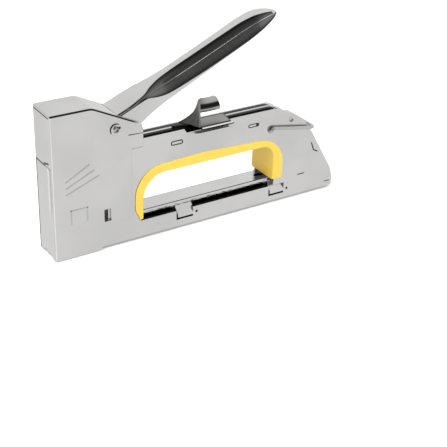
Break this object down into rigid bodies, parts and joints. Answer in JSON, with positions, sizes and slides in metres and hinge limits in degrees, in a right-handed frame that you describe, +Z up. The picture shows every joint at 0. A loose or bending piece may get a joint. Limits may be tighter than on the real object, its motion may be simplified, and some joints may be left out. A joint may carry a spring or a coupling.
{
  "type": "staple gun",
  "caption": "All-steel hand staple gun: slab head, raised lever, hand opening with a yellow liner, and a magazine along the foot.",
  "frame": {"origin": "middle of the underside: half way along the body, in its mid-plane, at the foot of the nose", "axes": "+X from the nose to the rear of the magazine, +Y across to the tool's right-hand side, +Z up"},
  "size_m": [0.17, 0.0236, 0.1065],
  "materials": {
    "plated_steel": "bright nickel plating on pressed sheet steel",
    "zinc_steel": "zinc plated, dull",
    "hardened_steel": "oiled, dark",
    "spring_steel": "bright drawn wire",
    "yellow_plastic": "moulded, semi-gloss",
    "white_nylon": "moulded, matt",
    "black_rubber": "matt"
  },
  "bodies": {
    "frame": {"head_cover": "plated_steel", "nose_plate": "plated_steel", "driver_guide": "zinc_steel", "spring_seat": "zinc_steel", "striker_bumper": "black_rubber", "pivot_pin": "plated_steel", "pivot_washers": "white_nylon", "main_spring": "spring_steel", "lever_return_spring": "spring_steel", "left_shell": "plated_steel", "right_shell": "plated_steel", "top_rail": "plated_steel", "grip_trim": "yellow_plastic", "frame_rivets": "zinc_steel", "magazine_cover": "plated_steel", "staple_track": "zinc_steel"},
    "lever": {"lever": "plated_steel", "lift_pin": "hardened_steel"},
    "striker": {"striker_carriage": "hardened_steel", "spring_guide": "hardened_steel", "driver_blade": "hardened_steel", "blade_rivets": "zinc_steel"},
    "bail": {"lock_bail": "spring_steel"},
    "slider": {"power_slider": "zinc_steel", "slider_shoe": "white_nylon"},
    "loader": {"loader_rod": "zinc_steel", "end_latch": "zinc_steel", "pusher_spring": "spring_steel"},
    "pusher": {"staple_pusher": "zinc_steel"}
  },
  "joints": [
    {"name": "lever_pivot", "type": "hinge", "parent": "frame", "child": "lever", "pos_m": [-0.0514, 0, 0.0636], "axis": [0, 1, 0], "range_deg": [0, 26], "stiffness_Nm_per_rad": 6, "springref_deg": -5.73},
    {"name": "driver_slide", "type": "slide", "parent": "frame", "child": "striker", "axis": [0, 0, 1], "range_m": [0, 0.0108], "deforming": ["main_spring"]},
    {"name": "bail_hinge", "type": "hinge", "parent": "frame", "child": "bail", "pos_m": [0.0395, 0, 0.0434], "axis": [0, -1, 0], "range_deg": [0, 118]},
    {"name": "slider_slide", "type": "slide", "parent": "frame", "child": "slider", "axis": [-1, 0, 0], "range_m": [0, 0.008]},
    {"name": "loader_slide", "type": "slide", "parent": "frame", "child": "loader", "axis": [1, 0, 0], "range_m": [0, 0.1]},
    {"name": "pusher_slide", "type": "slide", "parent": "loader", "child": "pusher", "axis": [1, 0, 0], "range_m": [0, 0.095], "stiffness_N_per_m": 60, "springref_m": -0.05}
  ],
  "couplings": [
    {"joint": "driver_slide", "follows": "lever_pivot", "m_per_rad": 0.0234}
  ]
}
